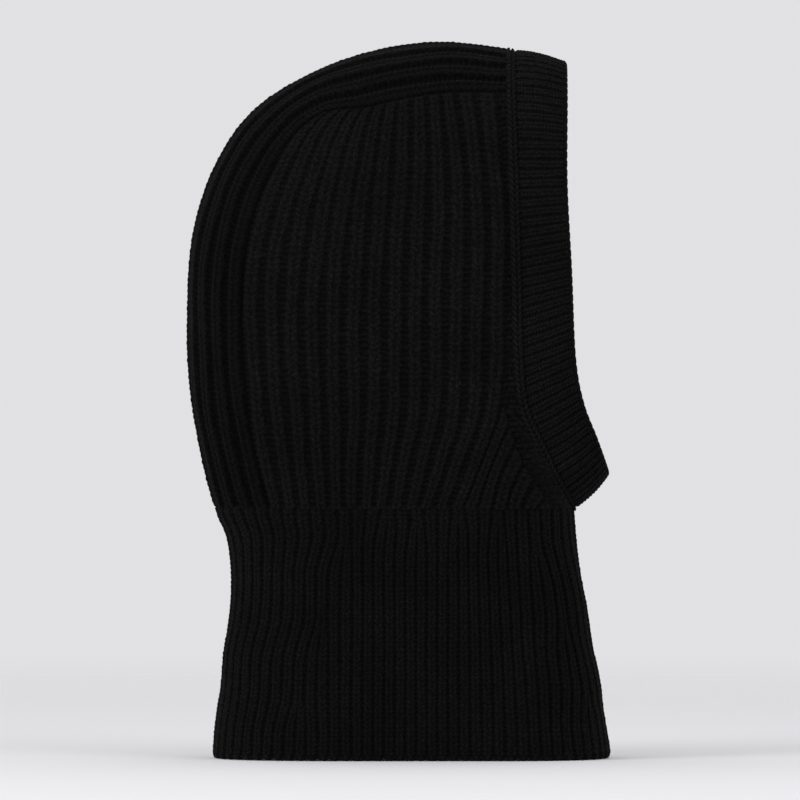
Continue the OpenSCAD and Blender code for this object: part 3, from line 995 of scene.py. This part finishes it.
def knit_wool(name, share, heart_shade, groove, piece_shade):
    """Wool in ribs, along the knitting's own coordinates: V stitches up each rib, purl bars in the grooves.
    Its colour is painted light and shade: lit strands and purl bars, painted shade between the strands, in
    the dots down the middle of a rib and in the gaps between purl bars. The arguments after share set the
    shade of those dots, that of the gaps, and a darkening of the whole piece, which on the crown strip is
    painted shade, as the strip faces the light from above."""
    n = Nodes(name)
    place = n.tree.nodes.new("ShaderNodeUVMap")
    place.uv_map = "knit"
    split = n.tree.nodes.new("ShaderNodeSeparateXYZ")
    n.put(place.outputs["UV"], split.inputs["Vector"])
    wale = n.math("ADD", split.outputs["X"], n.step(n.noise(420, 2), 0.25, 0.75, -0.09, 0.09))
    course = n.math("ADD", split.outputs["Y"], n.step(n.noise(240, 3), 0.25, 0.75, -0.32, 0.32))
    side = n.math("ABSOLUTE", n.math("SUBTRACT", n.math("FRACT", wale), 0.5))
    arm = n.math("DIVIDE", side, share / 2)
    slant = n.math("MULTIPLY", n.math("MINIMUM", arm, 1.0), 0.85)
    # Painted light and shade on the ribs: lit strands, painted shade between them and in the dots down the
    # middle
    stroke = n.step(n.wave(n.math("SUBTRACT", course, slant)), 0.0, 0.75, 0.56, 1.0)
    dots = n.step(n.wave(course, 0.4), 0.1, 0.9, heart_shade, heart_shade + 0.4)
    strands = n.step(n.wave(n.math("MULTIPLY", arm, 0.5), 0.36), 0.3, 1.0, 1.0, 1.18)
    middle = n.step(arm, 0.02, 0.36, dots, 1.0)
    lit = n.math("MULTIPLY", n.math("MULTIPLY", stroke, strands), middle)
    # Painted shade in the grooves: lit purl bars with darker gaps, all darker than the ribs
    bar = n.step(n.wave(course, 0.5), 0.1, 0.8, groove, groove + 0.34)
    on_rib = n.step(arm, 0.86, 1.14, 1.0, 0.0)
    in_groove = n.math("MULTIPLY", bar, n.math("SUBTRACT", 1.0, on_rib))
    light_and_shade = n.math("ADD", n.math("MULTIPLY", lit, on_rib), in_groove)
    return n.wool_finish(n.math("MULTIPLY", light_and_shade, piece_shade), light_and_shade, RIB_BUMP)


def edge_wool(name, lightest):
    """Wool of edges and seams, whose stitches are all in the shape. Its colour is painted shade, set for
    each point and lightest on the stitches' lit crests.
    """
    n = Nodes(name)
    shade = n.tree.nodes.new("ShaderNodeAttribute")
    shade.attribute_name = "shade"
    light_and_shade = n.step(shade.outputs["Fac"], 0.0, 1.0, 0.3, lightest)
    return n.wool_finish(light_and_shade, light_and_shade, EDGE_BUMP)


def paper(name, colour, solid_radius, rim_radius):
    """Pale paper that thins out to nothing from one radius to another, so that the floor has no edge."""
    n = Nodes(name)
    n.shader.inputs["Roughness"].default_value = 0.95
    ramp = n.tree.nodes.new("ShaderNodeValToRGB")
    ramp.color_ramp.elements[0].color = (*[c * 0.985 for c in colour], 1)
    ramp.color_ramp.elements[1].color = (*colour, 1)
    n.put(n.noise(3, 2), ramp.inputs["Fac"])
    n.put(ramp.outputs["Color"], n.shader.inputs["Base Color"])
    place = n.tree.nodes.new("ShaderNodeTexCoord")
    radius = n.tree.nodes.new("ShaderNodeVectorMath")
    radius.operation = "LENGTH"
    n.put(place.outputs["Object"], radius.inputs[0])
    n.put(n.step(radius.outputs["Value"], solid_radius, rim_radius, 1.0, 0.0), n.shader.inputs["Alpha"])
    return n.material


# ----------------------------------------------------------
# Studio: a pale floor, soft light and the camera
# ----------------------------------------------------------
# The floor thins out between these two radii
FLOOR_SOLID = 0.3
FLOOR_RIM = 2.6
# The picture's height and the aim above its lowest point, as shares of the balaclava's height
PICTURE_HEIGHT = 1.116
AIM_HEIGHT = 0.4995
AIM_AHEAD = 0.002


def studio():
    """The camera looks along +Y at the wearer's right side."""
    centre = (cad_box[0] + cad_box[1]) / 2
    height = cad_box[1].z - cad_box[0].z
    camera_data = bpy.data.cameras.new("camera")
    camera = bpy.data.objects.new("camera", camera_data)
    bpy.context.scene.collection.objects.link(camera)
    camera_data.lens = 500
    camera_data.sensor_width = 36
    distance = height * PICTURE_HEIGHT * camera_data.lens / camera_data.sensor_width
    aim = Vector((centre.x + AIM_AHEAD * height, 0, cad_box[0].z + AIM_HEIGHT * height))
    camera.location = aim - Vector((0, distance, 0))
    camera.rotation_euler = (math.pi / 2, 0, 0)
    camera_data.clip_end = 100
    bpy.context.scene.camera = camera
    floor_disc()
    area("key_light", (-2.1, -1.8, 0.9), (centre.x, 0, 0.22), size=1.6, power=46)
    area("fill_light", (1.7, -1.8, 1.0), (centre.x, 0, 0.18), size=1.8, power=20)
    area("top_light", (-0.2, 0.5, 2.1), (centre.x, 0, 0.25), size=1.6, power=4)
    world = bpy.data.worlds.new("studio")
    bpy.context.scene.world = world
    world.use_nodes = True
    background = world.node_tree.nodes["Background"]
    background.inputs["Color"].default_value = (0.98, 0.98, 1, 1)
    background.inputs["Strength"].default_value = 0.77
    scene = bpy.context.scene
    scene.view_settings.view_transform = "Standard"
    scene.view_settings.look = "None"


def floor_disc():
    """A round floor that thins out into the even light behind it."""
    count = 64
    turn = [2 * math.pi * k / count for k in range(count)]
    vertices = [(FLOOR_RIM * math.cos(t), FLOOR_RIM * math.sin(t), 0.0) for t in turn]
    mesh = bpy.data.meshes.new("floor")
    mesh.from_pydata(vertices, [], [list(range(count))])
    floor = bpy.data.objects.new("floor", mesh)
    bpy.context.scene.collection.objects.link(floor)
    mesh.materials.append(paper("pale_paper", (0.75, 0.75, 0.76), FLOOR_SOLID, FLOOR_RIM))


def area(name, place, target, size, power):
    """A round soft light, aimed at a point."""
    data = bpy.data.lights.new(name, "AREA")
    data.shape = "DISK"
    data.size = size
    data.energy = power
    light = bpy.data.objects.new(name, data)
    bpy.context.scene.collection.objects.link(light)
    light.location = place
    light.rotation_euler = (Vector(target) - Vector(place)).to_track_quat("-Z", "Y").to_euler()


# ----------------------------------------------------------
# Assembly
# ----------------------------------------------------------
def settle(piece, node, material):
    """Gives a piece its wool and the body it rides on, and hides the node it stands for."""
    piece.data.materials.append(material)
    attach(piece, "root")
    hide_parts(node)


studio()
# The last value darkens each piece's wool as a whole; on the crown strip it is painted shade, as the strip
# faces the light from above
hood_wool = knit_wool("hood_wool", SIDE_SHARE, heart_shade=0.46, groove=0.26, piece_shade=0.81)
strip_wool = knit_wool("strip_wool", STRIP_SHARE, heart_shade=0.44, groove=0.22, piece_shade=0.44)
neck_wool = knit_wool("neck_wool", NECK_SHARE, heart_shade=0.42, groove=0.26, piece_shade=0.64)
band_wool = knit_wool("band_wool", 0.68, heart_shade=0.2, groove=0.24, piece_shade=0.98)
trim_wool = edge_wool("edge_wool", lightest=0.95)
chain_wool = edge_wool("chain_wool", lightest=1.2)

strip = crown_strip()
left_side, right_side = hood_sides()
neck_tube = neck()
row = transfer_row()
band = face_band()
settle(strip, "crown_strip", strip_wool)
settle(left_side, "left_side_panel", hood_wool)
settle(right_side, "right_side_panel", hood_wool)
settle(neck_tube, "neck_rib", neck_wool)
settle(row, "neck_transfer_row", neck_wool)
settle(band, "face_band", band_wool)
hem, rim_roll, face_join, chin = hem_edge(), rim_edge(), face_chain(), chin_seam()
left_seam, right_seam = crown_seams()
settle(hem, "hem_cast_on", trim_wool)
settle(rim_roll, "rim_bind_off", trim_wool)
settle(face_join, "face_linking_chain", chain_wool)
settle(left_seam, "left_crown_seam", trim_wool)
settle(right_seam, "right_crown_seam", trim_wool)
settle(chin, "chin_join", trim_wool)
